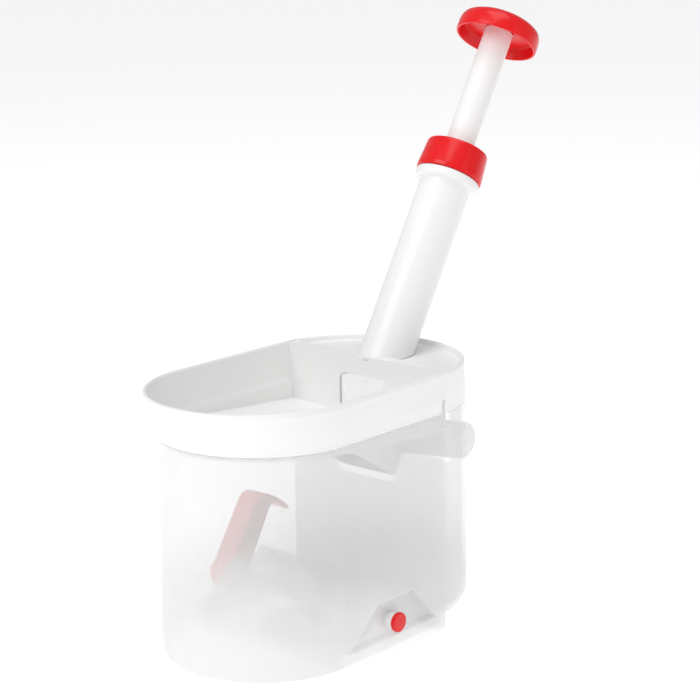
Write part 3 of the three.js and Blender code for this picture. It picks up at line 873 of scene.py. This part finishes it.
# %% Cap ring
cap = turned("screw_cap", [
    (15.9, 104), (18.3, 104), (18.65, 104.2), (18.8, 104.7), (18.7, 106.5), (17.6, 119.3),
    (17.45, 120.3), (17.1, 120.95), (16.5, 121.25), (15.6, 121.3), (9.3, 121.3), (8.95, 121.1),
    (8.9, 120.7), (8.9, 118.3), (15.9, 118.3),
], around=128, hollow=True)
hand_over(cap, "cap", "red_plastic", "cap_ring", place=LINE)

# %% [markdown]
# ## Rod and knob
#
# The rod is a white sleeve with a collar at its lower end, which the spring pushes up. The knob is a
# shallow red cap, hollow below, so a thumb or a palm has a wide soft edge to press on. Its dome is drawn
# with many close rings, because a gleam shows up every flat.

# %% Rod
rod = turned("push_rod", [
    (5.3, 78), (5.5, 78.3), (5.5, 106.6), (11.6, 106.6), (11.9, 106.9), (11.9, 111.7), (11.6, 112),
    (8.2, 112), (8.2, 194), (7.9, 194.3),
], around=96)
settle(rod, LINE)
cut(rod, settle(stub("holder_way", 3.2, 70, 90), LINE), settle(stub("screw_way", 2, 172, 200), LINE))
hand_over(rod, "plunger", "white_plastic", "plunger_rod", place=Matrix.Identity(4))

# %% Knob and its plug
knob = turned("palm_knob", [
    (2.3, 194.6), (19.6, 194.6), (20.7, 194.2), (21.3, 193.2), (22.1, 188.5), (22.3, 188.05),
    (22.8, 187.9), (23.3, 188.05), (23.55, 188.5), (23.6, 189.2), (23.6, 192), (23.5, 194), (23.2, 195.8),
    (22.7, 197.1), (21.9, 198.3), (20.6, 199.2), (18.9, 200.1), (16.5, 200.8), (13.4, 201.3),
    (10, 201.6), (7, 201.75), (5.3, 201.8), (4.9, 201.7), (4.8, 201.4), (4.8, 196.2), (2.3, 196.2),
], around=128, hollow=True)
hand_over(knob, "plunger", "red_plastic", "knob", place=LINE)
plug = turned("plug", [
    (4.4, 198.8), (4.4, 201.2), (4.3, 201.6), (4.0, 201.85), (3.2, 202), (1.2, 202.1), (0.2, 202.1),
], around=64)
hand_over(plug, "plunger", "red_plastic", "knob_plug", place=LINE)

# %% [markdown]
# ## Suction foot
#
# A white shaft with a red cap on its near end crosses the container under its floor. Its cam lifts a
# yoke, and the yoke lifts the middle of the clear cup, which then holds the table. The lever leans at
# rest, so it is modelled upright about its own shaft and then leaned.

# %% Shaft, yoke and cup
SHAFT_R, SHAFT_NEAR, SHAFT_FAR = 4.5, -55.9, 71.8
BUTTON_R, BUTTON_OUT, BUTTON_IN = 5.3, -58.6, -56.2

shaft = rounded(bar("shaft", SHAFT_R, SHAFT_NEAR, SHAFT_FAR, around=96), 0.4, 3)
cam = rounded(bar("cam", 6.5, -7, 7, 0, -2.5, around=96), 0.4, 3)
boolean(shaft, cam, "UNION")
cut(shaft, bar("screw_way", 1.9, 60, 80), bar("cap_way", 1.9, -60, -44.7))
hand_over(shaft, "lever", "white_plastic", "cam_shaft", place=SHAFT)

button = rounded(bar("shaft_button", BUTTON_R, BUTTON_OUT, BUTTON_IN, around=96), 0.6, 4)
boolean(button, bar("button_stub", 1.6, BUTTON_IN - 1, -45), "UNION")
hand_over(button, "lever", "red_plastic", "shaft_cap", place=SHAFT)

FOOT = BENCH @ Matrix.Translation((SHAFT_X * MM, 0, 0))
yoke = rounded(block("yoke", (-12.8, -5, 3.9), (12.8, 5, 24.2)), 1.0)
cut(yoke, rounded(block("yoke_window", (-10.3, -8, 6.4), (10.3, 8, 21.7)), 1.5))
boolean(yoke, turned("yoke_foot", [(9, 3.9), (9, 5.3), (8.7, 5.6)], around=64), "UNION")
hand_over(yoke, "cup", "white_plastic", "cup_yoke", place=FOOT)

cup = turned("suction_foot", [
    (0.2, 1.6), (6, 1.57), (12, 1.5), (18, 1.28), (24, 0.9), (28, 0.56), (30.4, 0.37), (30.9, 0.38),
    (31.2, 0.6), (31.1, 0.9), (30, 1.7), (26, 2.35), (22, 2.9), (16, 3.28), (10, 3.5), (5, 3.57), (0.2, 3.6),
], around=96)
hand_over(cup, "cup", "clear_soft_plastic", "suction_cup", place=FOOT)

# %% Lever
LEVER_LEAN = math.radians(32)
LEVER_NEAR, LEVER_FAR, LEVER_LONG = 58.6, 71.6, 49


def bend(start, pull, end, steps=6):
    """Points along a curve that starts and ends on two points and is pulled towards a third."""
    points = []
    for step in range(1, steps + 1):
        t = step / steps
        points.append(tuple(
            (1 - t) ** 2 * a + 2 * t * (1 - t) * b + t * t * c for a, b, c in zip(start, pull, end)
        ))
    return points


tip = LEVER_LONG
lever_side = [(7.4, 4), (6, tip - 7)]
for pull, end in (((6.6, tip - 3), (9.5, tip - 2.8)), ((15, tip - 2), (20.9, tip - 3.1))):
    lever_side += bend(lever_side[-1], pull, end)
lever_side.append((21.3, tip - 1.4))
for pull, end in (((14, tip + 0.6), (6, tip)), ((-4.5, tip), (-6.5, tip - 7))):
    lever_side += bend(lever_side[-1], pull, end)
for step in range(17):
    turn = math.pi - 0.5 + step / 16 * (math.pi + 1)
    lever_side.append((8.4 * math.cos(turn), 8.4 * math.sin(turn)))
lever = rounded(side_prism("suction_handle", lever_side, LEVER_NEAR, LEVER_FAR), 0.9, 4, angle=35)
cut(lever, rounded(block("lever_hollow", (-3.6, LEVER_NEAR + 2, 11), (12, LEVER_FAR - 2, tip - 7)), 1.2))
rib = block("lever_rib", (-4.2, LEVER_NEAR + 1.5, 26), (4.6, LEVER_FAR - 1.5, 27.4))
boolean(lever, rib, "UNION")
cut(lever, bar("lever_bore", SHAFT_R + 0.3, 50, 80))
hand_over(lever, "lever", "red_plastic", "suction_lever", place=SHAFT @ Matrix.Rotation(LEVER_LEAN, 4, "Y"))

# %% [markdown]
# ## Pieces that stay as the frame has them
#
# The spring, washer, bush, seat parts, needle and screws are already the right shape. They only need
# their finish.

# %% Finish the carried-over pieces
CARRIED = {
    "seat_plate": "white_plastic", "seat_gasket": "silicone", "gasket_retainer": "white_plastic",
    "spring_washer": "steel", "return_spring": "steel", "guide_bush": "white_plastic",
    "needle_holder": "white_plastic", "pitting_needle": "steel", "knob_screw": "steel",
    "lever_screw": "steel",
}
for node, slot in CARRIED.items():
    piece = frame["nodes"][node]
    piece.data.materials.clear()
    piece.data.materials.append(FINISHES[slot])
    print(node, "keeps its shape and is", slot)
